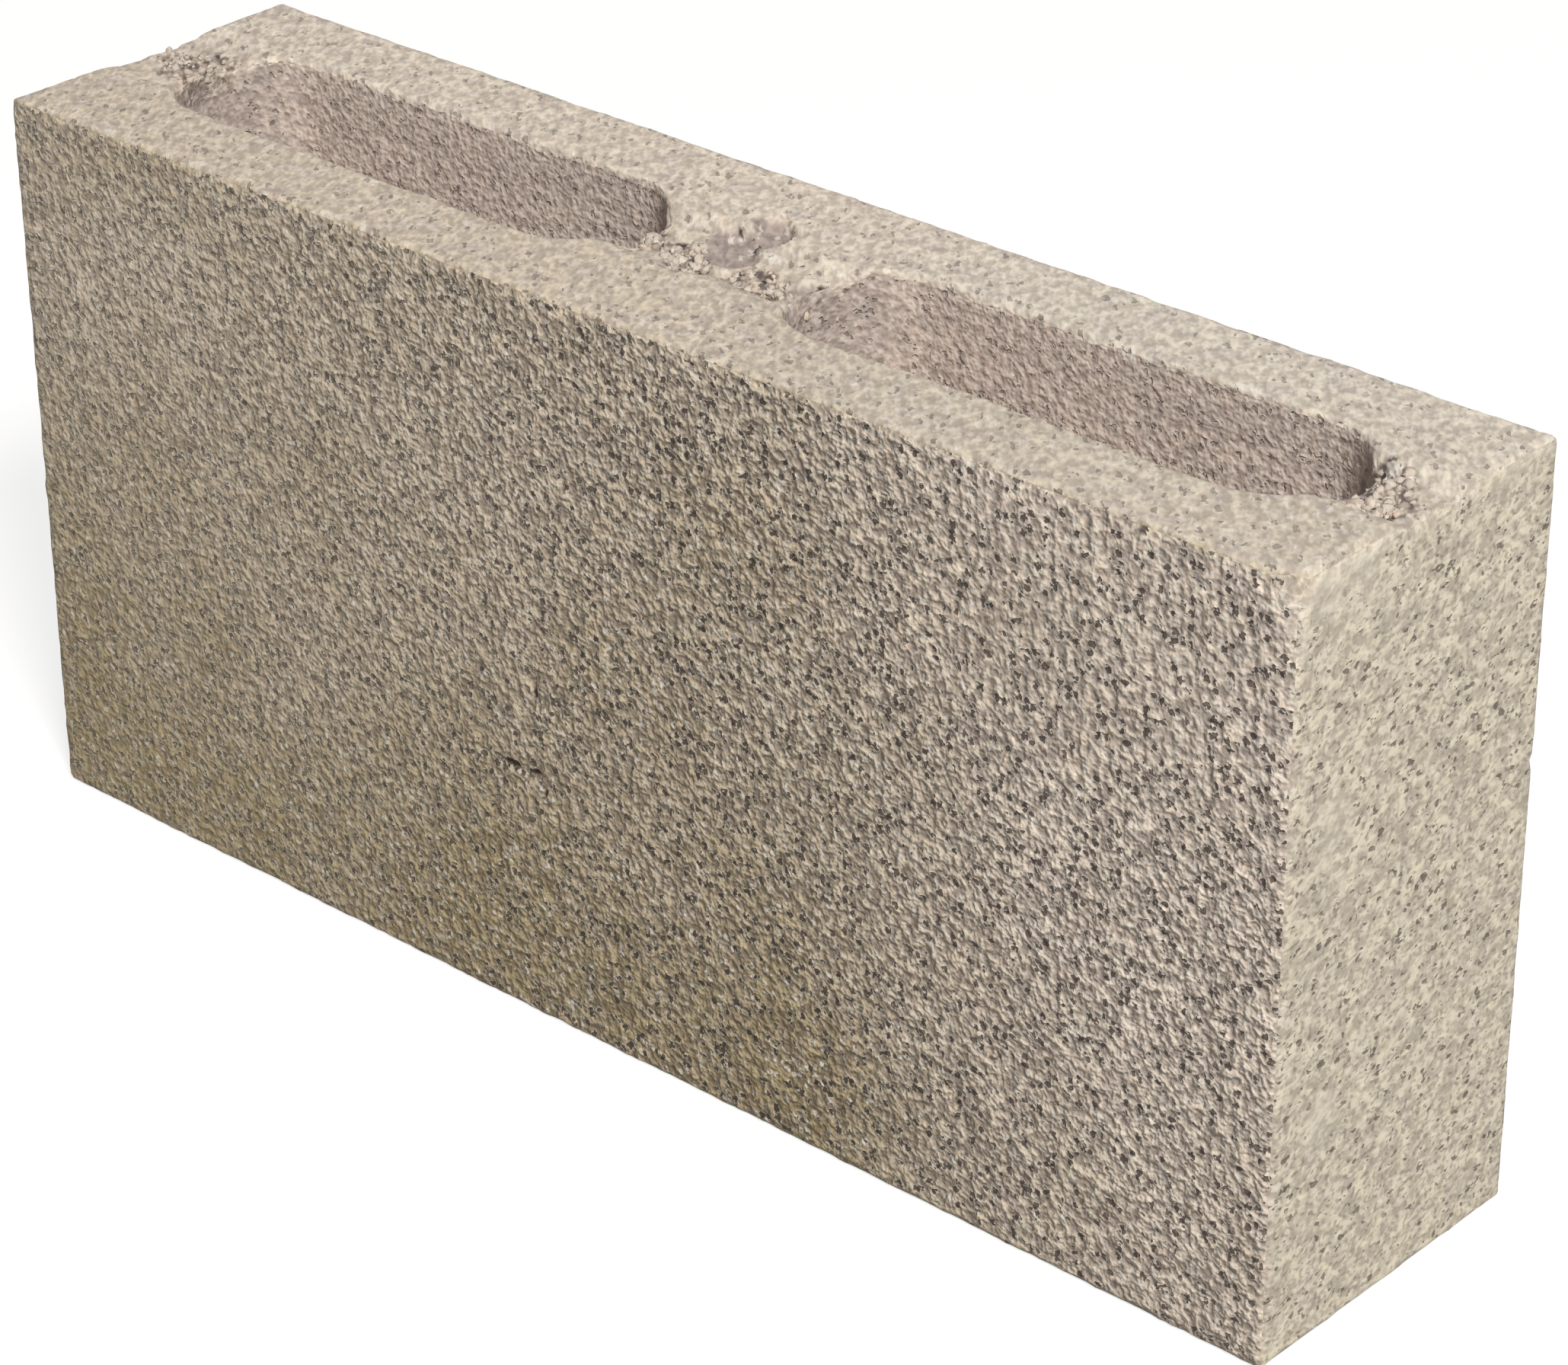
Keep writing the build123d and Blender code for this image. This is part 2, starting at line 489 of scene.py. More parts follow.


# Marks that stand out, each a line: from, to, half its width and its depth, in metres.
# Openings go in and are painted dark as shade, and flakes of pale paste are raised a little.
openings = [
    ((-0.0380, -0.045, 0.0680), (-0.0190, -0.045, 0.0655), 0.0009, 0.0011),
    ((-0.0190, -0.045, 0.0655), (-0.0165, -0.045, 0.0610), 0.0008, 0.0010),
    ((-0.0215, -0.045, 0.0940), (-0.0200, -0.045, 0.0850), 0.0008, 0.0010),
    ((-0.1830, -0.045, 0.1495), (-0.1640, -0.045, 0.1500), 0.0008, 0.0009),
    ((0.1080, -0.045, 0.0330), (0.1130, -0.045, 0.0270), 0.0010, 0.0013),
    ((-0.0245, -0.0030, 0.187), (-0.0215, -0.0060, 0.187), 0.0015, 0.0024),
    ((-0.0207, -0.0092, 0.188), (-0.0200, -0.0085, 0.188), 0.0010, 0.0018),
    ((-0.0085, -0.0068, 0.188), (-0.0060, -0.0075, 0.188), 0.0010, 0.0020),
    ((-0.0165, 0.0032, 0.188), (-0.0145, 0.0036, 0.188), 0.0011, 0.0020),
    ((-0.0032, -0.0058, 0.188), (-0.0004, -0.0062, 0.188), 0.0011, 0.0024),
    ((-0.0055, -0.0143, 0.189), (0.0000, -0.0140, 0.189), 0.0009, 0.0020),
    ((0.0000, -0.0140, 0.189), (0.0004, -0.0102, 0.188), 0.0009, 0.0020),
    ((-0.0070, 0.0004, 0.188), (-0.0055, -0.0010, 0.188), 0.0009, 0.0020),
    ((0.0032, -0.0056, 0.188), (0.0056, -0.0050, 0.188), 0.0011, 0.0024),
    ((0.0188, -0.0054, 0.188), (0.0205, -0.0066, 0.188), 0.0010, 0.0024),
    ((0.0120, 0.0002, 0.188), (0.0134, -0.0006, 0.188), 0.0008, 0.0018),
    ((0.0074, 0.0012, 0.188), (0.0084, 0.0006, 0.188), 0.0008, 0.0018),
    ((0.0149, 0.0097, 0.188), (0.0235, 0.0060, 0.188), 0.0006, 0.0010),
    ((0.0238, 0.0063, 0.187), (0.0248, 0.0053, 0.187), 0.0011, 0.0022),
    ((0.0258, 0.0008, 0.183), (0.0254, 0.0022, 0.181), 0.0006, 0.0014),
    ((0.0256, -0.0036, 0.185), (0.0260, -0.0048, 0.184), 0.0006, 0.0014),
    ((0.0270, 0.0074, 0.183), (0.0280, 0.0096, 0.181), 0.0006, 0.0014),
    ((0.1774, 0.0096, 0.188), (0.1782, 0.0092, 0.188), 0.0010, 0.0020),
    ((0.1848, 0.0024, 0.188), (0.1856, 0.0008, 0.188), 0.0010, 0.0024),
    ((0.1875, -0.0054, 0.188), (0.1886, -0.0068, 0.188), 0.0010, 0.0024),
    ((0.1821, -0.0056, 0.188), (0.1829, -0.0072, 0.188), 0.0010, 0.0022),
    ((0.1905, -0.0081, 0.189), (0.1914, -0.0085, 0.189), 0.0008, 0.0016),
    ((0.1918, 0.0082, 0.188), (0.1938, 0.0074, 0.187), 0.0009, 0.0018),
    ((-0.1854, 0.0068, 0.187), (-0.1840, 0.0050, 0.187), 0.0014, 0.0030),
    ((-0.1831, 0.0006, 0.187), (-0.1817, -0.0005, 0.187), 0.0013, 0.0028),
    ((-0.1938, 0.0070, 0.187), (-0.1924, 0.0048, 0.187), 0.0012, 0.0026),
]
flakes = [
    ((-0.0105, -0.0166, 0.189), (-0.0065, -0.0162, 0.189), 0.0012, 0.0003),
    ((-0.0352, 0.0170, 0.190), (-0.0300, 0.0115, 0.188), 0.0012, 0.0003),
    ((0.0052, 0.0094, 0.188), (0.0088, 0.0072, 0.188), 0.0014, 0.0004),
    ((0.0090, 0.0029, 0.188), (0.0094, 0.0025, 0.188), 0.0008, 0.0003),
    ((0.0250, 0.0110, 0.189), (0.0266, 0.0100, 0.189), 0.0010, 0.0003),
    ((0.0240, 0.0000, 0.188), (0.0250, -0.0004, 0.188), 0.0009, 0.0003),
    ((0.1760, 0.0118, 0.189), (0.1816, 0.0106, 0.188), 0.0015, 0.0004),
    ((-0.1812, 0.0116, 0.188), (-0.1800, 0.0108, 0.188), 0.0012, 0.0004),
    ((0.0985, 0.0205, 0.189), (0.1015, 0.0200, 0.187), 0.0014, 0.0003),
    ((0.1290, 0.0208, 0.190), (0.1350, 0.0206, 0.189), 0.0010, 0.0003),
    ((-0.1300, -0.0430, 0.190), (-0.1275, -0.0425, 0.190), 0.0013, 0.0002),
    ((-0.1620, -0.0435, 0.190), (-0.1600, -0.0430, 0.190), 0.0011, 0.0002),
    ((-0.1180, -0.0310, 0.190), (-0.1170, -0.0305, 0.190), 0.0010, 0.0002),
    ((-0.0920, -0.0235, 0.190), (-0.0880, -0.0225, 0.190), 0.0013, 0.0002),
    ((0.1700, -0.0360, 0.190), (0.1712, -0.0350, 0.190), 0.0012, 0.0002),
]
lump = {"place": (0.1845, 0.1260), "reach": 0.0052, "half": 0.0009, "depth": 0.0014,
        "downhill": (0.45, 0.9), "side": (0.1, 0.6)}
markWander = {"size": 0.005, "layers": 2, "far": 0.0011}


def nearMarks(points, marks):
    # Share exp(-(d / half)^2) of the nearest mark, with d the distance to its line from
    # the point, which is moved by clouds so the mark is ragged, and depth times share.
    wander = [clouds(points, markWander["size"], seeds["marks"] + n, markWander["layers"])
              for n in range(3)]
    place = points + np.stack(wander, axis=1) * markWander["far"]
    most, depth = np.zeros(len(points)), np.zeros(len(points))
    for start, end, half, deep in marks:
        start = np.array(start)
        along = np.array(end) - start
        part = np.clip((place - start) @ along / (along @ along), 0, 1)
        gap = np.linalg.norm(place - start - part[:, None] * along, axis=1)
        share = np.exp(-(gap / half) ** 2)
        most = np.maximum(most, share)
        depth = np.maximum(depth, deep * share)
    return most, depth


def lumpDepth(points):
    # A ring-shaped gap under one proud stone: exp(-(d / half)^2), on its lower left side.
    fromLump = points[:, [0, 2]] - lump["place"]
    gap = np.abs(np.linalg.norm(fromLump, axis=1) - lump["reach"])
    left, down = lump["downhill"]
    lowerLeft = -(fromLump[:, 0] * left + fromLump[:, 1] * down) / lump["reach"]
    lowerLeft = ramp(lowerLeft, *lump["side"])
    return lump["depth"] * lowerLeft * np.exp(-(gap / lump["half"]) ** 2)


def facing(points, normals, kinds, drop):
    # Share of each kind of surface at a point: the square of its normal along x, y or z,
    # with a bed's inside all bed, and a cell's wall turned to bed just under its rim.
    outer = (kinds != cellWall) * 1.0
    inward = np.min(high[:2] - np.abs(points[:, :2]), axis=1)
    inBed = (kinds < outerWall) * ramp(inward, *block["bedStart"])
    endFace, longFace, bedFace = (normals ** 2 * outer[:, None]).T
    underRim = high[2] - drop - points[:, 2]
    ragged = block["wallTopRagged"] * pattern("wallTop", points)
    wall = (1 - outer) * ramp(underRim + ragged, *block["wallTop"])
    bedFace = np.where(kinds == cellWall, 1 - wall, np.maximum(bedFace, inBed))
    return {"longFace": longFace * (1 - inBed), "endFace": endFace * (1 - inBed),
            "bedFace": bedFace, "cellWall": wall}, underRim


def brokenWebs(points, kinds, underRim, share):
    # Crumb: the sum of dense * exp(-(d / reach)^2) over the heaps, near the bed alone.
    # Smooth and ledge shadow: inside the pocket's lobes, and a painted shadow line exp(-t^2) at
    # their ledge.
    reach = block["heapReach"] + block["heapReachRagged"] * pattern("heapReach", points)
    nearBed = 1 - ramp(underRim, reach, reach + block["heapFade"])
    nearBed = nearBed * (points[:, 2] > block["bedOnly"])
    x, y = points[:, 0], points[:, 1]
    heaped = sum(dense * np.exp(-((x - heapX) ** 2 + (y - heapY) ** 2) / size ** 2)
                 for heapX, heapY, size, dense in heaps)
    crumb = ramp(heaped + block["heapRagged"] * pattern("heapEdge", points), *block["heapShare"])
    crumb *= nearBed * (kinds != outerWall) * np.where(kinds == cellWall, block["heapOnWall"], 1)
    smooth, crevice = np.zeros(len(points)), np.zeros(len(points))
    for lobe in lobes:
        within, ledge = lobeReach(x, y, lobe)
        within = within + block["smoothRagged"] * pattern("smoothEdge", points)
        inside = (1 - ramp(within, *block["smoothEdge"])) * (kinds == topBed)
        smooth = np.maximum(smooth, inside)
        # a painted shadow line along each lobe's ledge
        line = np.exp(-((within - block["creviceAt"]) / block["creviceHalf"]) ** 2)
        line = ramp(ledge, *block["creviceSide"]) * line * (kinds == topBed)
        crevice = np.maximum(crevice, line)
    share.update(crumb=crumb * (1 - smooth), smooth=smooth, crevice=crevice)


def stainsOf(points, normals, share):
    # Dragged: the upper right part of a long face. Damp and end shade: how dark and green the
    # concrete is from damp, from the place along and up a long face and across a bed, and round a
    # cell's end the painted shade on the wall's round ends.
    # Paste: patches of smooth cement on an end, where clouds and height pass a level.
    x, y, z = points.T
    along = np.where(y < 0, x, -x - block["backShift"])
    dragAlong = along + block["dragAlongRagged"] * pattern("dragStart", points)
    dragUp = z + block["dragUpRagged"] * pattern("dragFoot", points)
    share["dragged"] = share["longFace"] * ramp(dragAlong, *block["dragAlong"])
    share["dragged"] *= ramp(dragUp, *block["dragUp"])
    drier = 1 - block["dryRight"] * ramp(along, *block["dryFade"])
    tone = block["leftTone"] * (1 - ramp(along, *block["leftFade"]))
    tone += block["lowTone"] * np.maximum(1 - z / high[2], 0) ** block["lowPower"] * drier
    patches = 1 + block["footPatches"] * pattern("footDirt", points)
    tone += block["footTone"] * np.exp(-(z / block["footTall"]) ** 2) * drier * patches
    bedTone = block["bedTone"] - y / block["bedAcross"]
    bedTone += block["bedRight"] * ramp(x, *block["bedFade"])
    tone += (bedTone - tone) * share["bedFace"]
    # round a cell's end: painted shade, darker the more the wall faces along the block
    tone += (ramp(np.abs(normals[:, 0]), *block["roundEnd"]) - tone) * share["cellWall"]
    share["dampAndEndShade"] = np.clip(tone + block["dampClouds"] * pattern("dampAndEndShade", points), 0, 1)
    patch = pattern("paste", points) + block["pasteTop"] * ramp(z, *block["pasteUp"])
    patch -= block["pasteMiddle"] * np.exp(-(y / block["pasteHalf"]) ** 2)
    share["paste"] = ramp(patch, *block["pasteEdge"]) * share["endFace"]


def grainRelief(points, share):
    # Depth of the open texture in metres, inward. Stones lie flush with the mould; the
    # gaps between them and the places where one was torn out are deeper.
    near, second, own = stones(points, block["stoneSize"], seeds["stones"])
    between = 1 - ramp(second - near, *block["stoneGap"])
    roundShare, gapShare, ownShare = block["stoneShares"]
    stone = roundShare * ramp(near, *block["stoneRound"]) + gapShare * between + ownShare * own
    pitNear, _, pitOwn = stones(points, block["pitSize"], seeds["pits"])
    smallest, larger = block["pitReach"]
    cells = np.floor(pitOwn[:, None] * 4096) * np.ones(3)
    reach = smallest + larger * cellFraction(cells, seeds["pitReach"])
    pits = (pitOwn < block["pitShare"]) * (1 - ramp(pitNear, reach * 0.5, reach))
    wave = (pattern("faceWave", points) + 1) * block["faceWave"]
    openness = block["openLeast"] + block["openRight"] * ramp(points[:, 0], *block["openFade"])
    openness += block["openClouds"] * pattern("openness", points)
    drag = pattern("dragLines", points * np.array([1, 1, block["dragPull"]]))
    faceStone = block["faceDepth"] * stone * (1 - block["dragOver"] * share["dragged"])
    depth = share["longFace"] * openness * (faceStone + block["facePits"] * pits)
    depth += share["dragged"] * block["dragDepth"] * (drag + 1)
    endPits = block["endPits"] * pits * (1 - share["paste"])
    depth += share["endFace"] * (block["endDepth"] * stone + endPits)
    depth += share["bedFace"] * block["bedDepth"] * stone
    rimShare = block["cellRimDepth"]
    underRim = rimShare + (1 - rimShare) * ramp(high[2] - points[:, 2], *block["cellFullDepth"])
    cellPits = block["cellPits"] * block["facePits"] * pits
    depth += share["cellWall"] * underRim * (block["cellDepth"] * stone + cellPits + wave)
    depth += share["longFace"] * wave
    level, swing = block["crumbLevel"]
    broken = np.maximum(level + swing * pattern("brokenWeb", points), 0)
    depth += share["crumb"] * block["crumbDepth"] * broken
    depth += lumpDepth(points) * (points[:, 1] < block["frontOnly"]) * share["longFace"]
    # openings: a dent in the mesh, and painted shade in the colour
    share["opening"], opened = nearMarks(points, openings)
    # the lobes' painted ledge shadow is painted dark together with the openings
    share["opening"] = np.maximum(share["opening"], block["creviceOpen"] * share["crevice"])
    share["flake"], raised = nearMarks(points, flakes)
    depth += opened - raised
    # hollow: how much painted shade the colour puts in the mesh's pits and gaps
    hollow = pits + block["hollowStone"] * stone * (share["longFace"] + share["cellWall"])
    share["hollow"] = np.clip(hollow, 0, 1)
    return depth


def jitterAlong(points, quads, normals, kinds):
    # Small random steps within the surface, so the grid's lines don't show in the grain,
    # each no longer than a share of the narrowest face at its point (area / longest edge).
    corners = points[quads]
    a, b, c, d = corners.transpose(1, 0, 2)
    area = np.linalg.norm(np.cross(c - a, d - b), axis=1) / 2
    longest = np.max(np.linalg.norm(corners - np.roll(corners, -1, axis=1), axis=2), axis=1)
    narrowest = np.full(len(points), np.inf)
    np.minimum.at(narrowest, quads, (area / longest)[:, None])
    reach = np.minimum(block["jitter"], block["jitterShare"] * narrowest)[:, None]
    cells = np.round(points / 1e-6)
    step = [cellFraction(cells, seeds["jitter"] + axis) - 0.5 for axis in range(3)]
    step = np.stack(step, axis=1) * 2 * reach
    step -= normals * np.sum(step * normals, axis=1)[:, None]
    flat = np.max(np.abs(normals), axis=1) > 0.995
    return points + step * (flat | (kinds == cellWall))[:, None]


def placePiece(name, points, faces, values):
    # A smooth-shaded mesh at the origin, with one number at each point for each name.
    mesh = bpy.data.meshes.new(name)
    mesh.from_pydata(points, [], faces)
    mesh.update()
    mesh.polygons.foreach_set("use_smooth", np.ones(len(mesh.polygons), bool))
    for label, value in values.items():
        kept = mesh.attributes.new(label, "FLOAT", "POINT")
        kept.data.foreach_set("value", value.astype(np.float32))
    piece = bpy.data.objects.new(name, mesh)
    bpy.context.collection.objects.link(piece)
    return piece


zoneNames = ["endFace", "bedFace", "cellWall", "crumb", "smooth", "dragged", "dampAndEndShade", "paste",
             "hollow", "opening", "flake"]


def buildSkin():
    # The grid, with its edges rounded by a radius that clouds change, its mouths softened,
    # and each point moved inward along its normal by the grain's depth.
    points, quads, drop, kinds = skinGrid()
    fromCorner = np.linalg.norm(points - [high[0], low[1], high[2]], axis=1)
    knocked = np.exp(-(fromCorner / block["knockedReach"]) ** 2)
    uneven = block["slowWear"] * pattern("slowWear", points) + pattern("quickWear", points)
    wear = block["arrisWear"] * uneven * (0.5 + 0.5 * ramp(points[:, 2], *block["topWear"]))
    wear *= 1 - 0.5 * ramp(points[:, 1], *block["backWear"])
    wear += block["arris"]
    wear += block["knockedCorner"] * knocked
    rounded = roundOff(points, drop, np.maximum(wear, block["arrisLeast"]))
    points = np.where((kinds == cellWall)[:, None], points, rounded)
    points = softenMouths(points, drop)
    normals = cornerNormals(points, quads)
    points = jitterAlong(points, quads, normals, kinds)
    share, underRim = facing(points, normals, kinds, drop)
    brokenWebs(points, kinds, underRim, share)
    stainsOf(points, normals, share)
    depth = grainRelief(points, share)
    points = np.clip(points - normals * depth[:, None], low, high)
    skin = placePiece("castSkin", points, quads, {name: share[name] for name in zoneNames})
    print("skin", len(points), "points,", 2 * len(quads), "triangles")
    return skin, points, normals, share


skin, skinPoints, skinNormals, skinShare = buildSkin()


# Loose stones and mortar crumbs left on the webs by the core bar

crumbs = {
    "count": 230,
    "smallest": 0.0006,
    "largest": 0.0015,
    "moreSmall": 1.7,          # above 1, more of them are small
    "around": 8,               # corners round each stone
    "rings": 4,
    "bumps": 0.8,              # roughness of each stone, as a share of its size
    "width": (0.8, 0.5),       # least width, and how much wider the widest is
    "height": (0.7, 0.5),      # the same for its height,
    "flatness": 0.72,          # all of which is also this much less
    "sunk": 0.55,              # share of its height that sits in the concrete
    "reach": 0.009,            # how far below the bed they lie
    "clearOpenings": 0.9,      # how many fewer there are in openings
    "clearTop": 0.0002,        # kept free below the block's full height
    "seed": 5,
    "colour": (0.610, 0.540, 0.470),
    "tint": 0.8,
    "stoneSize": 0.0009,       # the fine grain on each
    "sandSize": 0.0005,
    "grainHeight": 0.12,       # in mm
    "roughness": 0.9,
}


def buildCrumbs():
    # Each stone is a ball r(u, v) = size (1 + bumps), squashed, turned and set down at a
    # point of the broken surface. All are worked out at once, as stones by corners.
    count, around, rings = crumbs["count"], crumbs["around"], crumbs["rings"]
    rng = np.random.default_rng(crumbs["seed"])
    chance = skinShare["crumb"] ** 2 * (1 - crumbs["clearOpenings"] * skinShare["opening"])
    chance = chance * (skinPoints[:, 2] > high[2] - crumbs["reach"])
    chosen = rng.choice(len(skinPoints), count, replace=False, p=chance / chance.sum())
    spread = (crumbs["largest"] - crumbs["smallest"]) * rng.random(count) ** crumbs["moreSmall"]
    size = crumbs["smallest"] + spread
    u = np.linspace(0, 2 * math.pi, around, endpoint=False)
    v = np.linspace(0, math.pi, rings + 2)[1:-1]
    flatRing = [np.cos(u), np.sin(u), np.ones(around)]
    ring = [np.outer(span, part) for span, part in zip((np.sin(v), np.sin(v), np.cos(v)), flatRing)]
    ball = np.vstack([[[0, 0, 1]], np.stack(ring, axis=-1).reshape(-1, 3), [[0, 0, -1]]])
    corners = len(ball)
    bumps = 1 + crumbs["bumps"] * (rng.random((count, corners)) - 0.5)
    (narrow, wider), (flat, taller) = crumbs["width"], crumbs["height"]
    wide = narrow + wider * rng.random(count)
    tall = crumbs["flatness"] * (flat + taller * rng.random(count))
    squash = np.stack([wide, np.ones(count), tall], axis=1)
    body = ball[None] * bumps[..., None] * squash[:, None] * size[:, None, None]
    axes = np.linalg.qr(rng.normal(size=(count, 3, 3)))[0]
    axes *= np.sign(np.linalg.det(axes))[:, None, None]  # turned, never mirrored
    sunk = size * (0.5 - crumbs["sunk"])
    place = skinPoints[chosen] + skinNormals[chosen] * sunk[:, None]
    points = (body @ axes + place[:, None]).reshape(-1, 3)
    points = np.clip(points, low, high - [0, 0, crumbs["clearTop"]])
    i = np.arange(around)
    ahead = (i + 1) % around
    faces = [[0, 1 + a, 1 + b] for a, b in zip(i, ahead)]
    for level in range(rings - 1):
        upper, lower = 1 + level * around, 1 + (level + 1) * around
        faces += [[upper + a, lower + a, lower + b, upper + b] for a, b in zip(i, ahead)]
    last = 1 + (rings - 1) * around
    faces += [[corners - 1, last + b, last + a] for a, b in zip(i, ahead)]
    allFaces = [[corner + n * corners for corner in face] for n in range(count) for face in faces]
    tone = np.repeat(rng.random(count), corners)
    print("crumbs", count, "stones,", len(allFaces), "faces")
    return placePiece("webCrumbs", points, allFaces, {"stoneTone": tone})


webCrumbs = buildCrumbs()


# Materials

def newMaterial(name):
    material = bpy.data.materials.new(name)
    material.use_nodes = True
    material.node_tree.nodes.clear()
    return material, material.node_tree


def addNode(tree, kind, feeds, **settings):
    # One node: its settings, then a plain value or another node's output for each input.
    node = tree.nodes.new("ShaderNode" + kind)
    for name, value in settings.items():
        setattr(node, name, value)
    for slot, feed in feeds.items():
        if isinstance(feed, bpy.types.NodeSocket):
            tree.links.new(feed, node.inputs[slot])
        else:
            node.inputs[slot].default_value = feed
    return node


def calc(tree, operation, *feeds, clamp=False):
    feeds = dict(enumerate(feeds))
    return addNode(tree, "Math", feeds, operation=operation, use_clamp=clamp).outputs[0]


def times(tree, first, second):
    return calc(tree, "MULTIPLY", first, second)


def without(tree, value, share=1.0):
    # 1 less a share of the value.
    return calc(tree, "SUBTRACT", 1.0, value if share == 1 else times(tree, value, share))


def largest(tree, first, second):
    return calc(tree, "MAXIMUM", first, second)


def soften(tree, value, start, end, low=0.0, high=1.0):
    feeds = {"Value": value, "From Min": start, "From Max": end, "To Min": low, "To Max": high}
    return addNode(tree, "MapRange", feeds, interpolation_type="SMOOTHSTEP").outputs["Result"]


def blend(tree, factor, first, second):
    return addNode(tree, "Mix", {0: factor, 2: first, 3: second}, data_type="FLOAT").outputs[0]


def mixPlaces(tree, factor, first, second):
    return addNode(tree, "Mix", {0: factor, 4: first, 5: second}, data_type="VECTOR").outputs[1]


def mixColours(tree, factor, first, second, mode="MIX"):
    # A plain colour is its red, green and blue, and gets a full alpha here.
    first, second = ((*c, 1) if isinstance(c, tuple) else c for c in (first, second))
    feeds = {0: factor, 6: first, 7: second}
    return addNode(tree, "Mix", feeds, data_type="RGBA", blend_type=mode).outputs[2]


def noise(tree, vector, scale, detail=0.0, rough=0.5):
    feeds = {"Vector": vector, "Scale": scale, "Detail": detail, "Roughness": rough}
    return addNode(tree, "TexNoise", feeds).outputs["Fac"]


def newGroup(name, inputs, outputs):
    # A shader node group with named sockets: (name, value) in and (name, kind) out.
    group = bpy.data.node_groups.new(name, "ShaderNodeTree")
    for label, value in inputs:
        kind = "NodeSocketVector" if value is None else "NodeSocketFloat"
        socket = group.interface.new_socket(name=label, in_out="INPUT", socket_type=kind)
        if value is not None:
            socket.default_value = value
    for label, kind in outputs:
        group.interface.new_socket(name=label, in_out="OUTPUT", socket_type="NodeSocket" + kind)
    given, result = group.nodes.new("NodeGroupInput"), group.nodes.new("NodeGroupOutput")
    return group, given.outputs, result.inputs


def useGroup(tree, group, feeds):
    return addNode(tree, "Group", feeds, node_tree=group).outputs


def makeCastGrain():
    # Sand and small stones in cement: flat-topped grains with steep gaps between them,
    # and finer sand over them.
    group, given, result = newGroup("castGrain", [
        ("Position", None), ("Stone Size", 0.0018), ("Sand Size", 0.0007)],
        [("Grains", "Float"), ("Sand", "Float")])
    place = given["Position"]
    perStone = calc(group, "DIVIDE", 1.0, given["Stone Size"])
    perGrain = calc(group, "DIVIDE", 1.0, given["Sand Size"])
    lumps = noise(group, place, perStone, 1.0)
    group.links.new(soften(group, lumps, 0.22, 0.78), result["Grains"])
    group.links.new(noise(group, place, perGrain), result["Sand"])
    return group


def makeSpots():
    # One spot for each cell of a random grid: some are ragged pits where a grain fell
    # out, with a painted highlight on the rim, some are pale grains that are partly painted
    # highlights, and each cell owns a tone.
    group, given, result = newGroup("looseSpots", [
        ("Position", None), ("Size", 0.0030), ("Ragged", 0.35), ("Widest", 0.40),
        ("Pit Share", 0.5), ("Pale Share", 0.15)],
        [(name, "Float") for name in ("Pits", "Pale", "Tone", "Rounds", "Rim Highlights")])
    place = given["Position"]
    perSpot = calc(group, "DIVIDE", 1.0, given["Size"])
    spot = addNode(group, "TexVoronoi", {"Vector": place, "Scale": perSpot}, feature="F1")
    own = addNode(group, "SeparateColor", {0: spot.outputs["Color"]}).outputs
    rag = noise(group, place, times(group, perSpot, 2.6))
    ragged = times(group, calc(group, "SUBTRACT", rag, 0.5), given["Ragged"])
    far = calc(group, "ADD", spot.outputs["Distance"], ragged)
    ownWidth = calc(group, "ADD", 0.45, times(group, own[1], 0.55))
    widest = times(group, given["Widest"], ownWidth)
    pit = soften(group, far, times(group, widest, 0.5), widest, 1.0, 0.0)
    lip = soften(group, far, widest, calc(group, "ADD", widest, 0.16), 1.0, 0.0)
    isPit = calc(group, "LESS_THAN", own[0], given["Pit Share"])
    isPale = calc(group, "GREATER_THAN", own[0], calc(group, "SUBTRACT", 1.0, given["Pale Share"]))
    found = {
        "Pits": times(group, pit, isPit),
        "Rim Highlights": times(group, calc(group, "SUBTRACT", lip, pit), isPit),
        "Pale": times(group, soften(group, far, 0.20, 0.45, 1.0, 0.0), isPale),
        "Tone": own[2],
        "Rounds": soften(group, far, 0.10, 0.75, 1.0, 0.0),
    }
    for name, value in found.items():
        group.links.new(value, result[name])
    return group


def makeStoneTints():
    # Colour of each stone from its own tone: a few dark or reddish, most sandy, some pale.
    group, given, result = newGroup("stoneTints", [
        ("Tone", 0.5), ("Strength", 1.0)], [("Tint", "Color")])
    band = addNode(group, "ValToRGB", {0: given["Tone"]})
    stops = [(0.0, (0.42, 0.38, 0.38)), (0.10, (0.62, 0.57, 0.55)), (0.22, (0.86, 0.84, 0.82)),
             (0.50, (1.0, 1.0, 1.0)), (0.72, (1.04, 1.0, 0.94)), (0.80, (1.06, 0.95, 0.86)),
             (0.86, (1.0, 0.99, 0.98)), (1.0, (1.28, 1.28, 1.25))]
    steps = band.color_ramp.elements
    while len(steps) < len(stops):
        steps.new(0.5)
    for element, (place, colour) in zip(steps, stops):
        element.position = place
        element.color = (*colour, 1)
    tint = mixColours(group, given["Strength"], (1, 1, 1), band.outputs[0])
    group.links.new(tint, result["Tint"])
    return group


castGrain = makeCastGrain()
looseSpots = makeSpots()
stoneTints = makeStoneTints()

